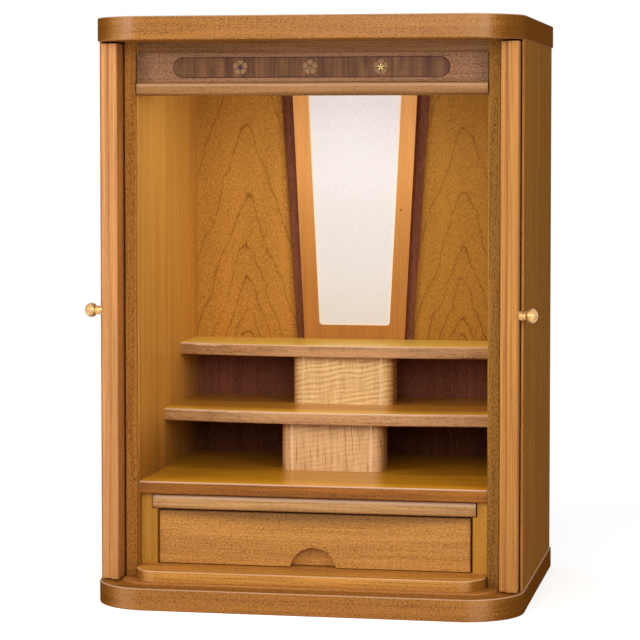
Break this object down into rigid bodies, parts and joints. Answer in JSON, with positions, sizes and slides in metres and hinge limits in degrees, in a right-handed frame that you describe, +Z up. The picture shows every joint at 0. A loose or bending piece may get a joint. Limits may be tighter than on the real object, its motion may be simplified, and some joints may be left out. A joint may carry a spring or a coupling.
{
  "type": "tabletop household altar cabinet",
  "caption": "Walnut altar cabinet with rounded front corners, doors stowed in side pockets, stepped shelves, a pull-out tray and a drawer.",
  "frame": {"origin": "on the floor under the middle of the base board", "axes": "+Z up, -Y towards the viewer (open front), +X to the viewer's right"},
  "size_m": [0.4672, 0.334, 0.6],
  "materials": {
    "walnut": "satin lacquer over quarter-cut walnut",
    "dark_walnut": "satin lacquer over figured dark walnut",
    "honey_wood": "satin lacquer over honey-coloured veneer",
    "curly_maple": "satin lacquer over curly maple",
    "stained_board": "dark stain",
    "pale_board": "clear matt lacquer",
    "orange_wood": "smooth satin lacquer",
    "cream_cloth": "matt woven cloth",
    "pale_bead": "pale satin bead",
    "gold": "polished gilt",
    "brass": "satin gilt",
    "steel": "zinc plated"
  },
  "bodies": {
    "case": {"back_panel": "stained_board", "base_board": "walnut", "base_step": "walnut", "centre_panel_bead": "pale_bead", "centre_panel_cloth": "cream_cloth", "centre_panel_frame": "orange_wood", "left_drawer_cheek": "honey_wood", "left_front_stile": "walnut", "left_inner_wall": "honey_wood", "left_outer_panel": "walnut", "left_slide_rails": "steel", "left_wing_panel": "honey_wood", "lintel_blossoms": "gold", "lintel_board": "walnut", "lintel_inlay": "dark_walnut", "lintel_moulding": "walnut", "lintel_strip": "walnut", "lower_block": "curly_maple", "lower_deck": "honey_wood", "middle_shelf": "honey_wood", "right_drawer_cheek": "honey_wood", "right_front_stile": "walnut", "right_inner_wall": "honey_wood", "right_outer_panel": "walnut", "right_slide_rails": "steel", "right_wing_panel": "honey_wood", "sill_plinth": "walnut", "top_board": "walnut", "upper_block": "curly_maple", "upper_shelf": "honey_wood"},
    "left_leaf": {"left_door": "walnut", "left_knob": "brass", "left_corner_post": "walnut", "left_door_hinges": "steel"},
    "right_leaf": {"right_door": "walnut", "right_knob": "brass", "right_corner_post": "walnut", "right_door_hinges": "steel"},
    "drawer": {"drawer_front": "honey_wood", "drawer_left_side": "pale_board", "drawer_right_side": "pale_board", "drawer_back": "pale_board", "drawer_bottom": "pale_board"},
    "tray": {"tray_lip": "walnut", "tray_board": "pale_board"}
  },
  "joints": [
    {"name": "left_door_slide", "type": "slide", "parent": "case", "child": "left_leaf", "axis": [0, -1, 0], "range_m": [0, 0.219]},
    {"name": "right_door_slide", "type": "slide", "parent": "case", "child": "right_leaf", "axis": [0, -1, 0], "range_m": [0, 0.219]},
    {"name": "drawer_slide", "type": "slide", "parent": "case", "child": "drawer", "axis": [0, -1, 0], "range_m": [0, 0.17]},
    {"name": "tray_slide", "type": "slide", "parent": "case", "child": "tray", "axis": [0, -1, 0], "range_m": [0, 0.16]}
  ]
}
